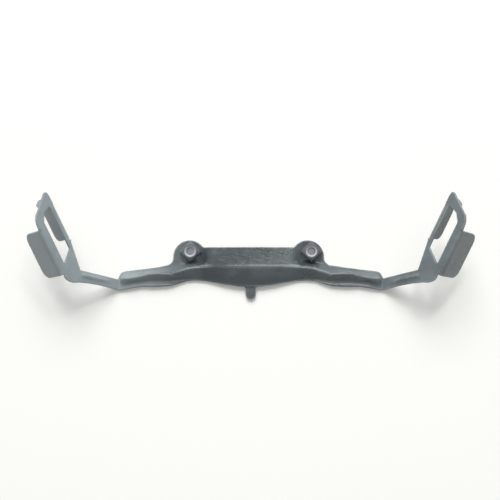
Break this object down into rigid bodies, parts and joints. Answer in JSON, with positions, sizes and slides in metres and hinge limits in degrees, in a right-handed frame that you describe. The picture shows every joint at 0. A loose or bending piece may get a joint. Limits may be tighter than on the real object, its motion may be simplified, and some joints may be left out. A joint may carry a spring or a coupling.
{
  "type": "motorcycle indicator bracket",
  "caption": "Pressed steel stay for the front indicator lamps of a motorcycle: ribbed middle, bolt ears with weld nuts, sloping arms and folded lamp plates with windows.",
  "frame": {"origin": "midway between the two bolt holes, on the rear face of the ears that they go through", "axes": "+X along the bracket from the left lamp plate to the right one as seen from the front, +Y up towards the plates' tips, +Z out of the front face along the bolts, away from the machine"},
  "size_m": [0.2886, 0.0658, 0.0401],
  "materials": {
    "sheet_paint": "satin black electrocoat with a slate cast, wrinkled on the drawn middle, worn pale on its crests and dusty towards the ends",
    "nut_paint": "satin black electrocoat over the nut, worn to pale bare metal in the bore and its thread"
  },
  "bodies": {
    "root": {"bracket": "sheet_paint", "weld_nuts": "nut_paint"}
  },
  "joints": []
}
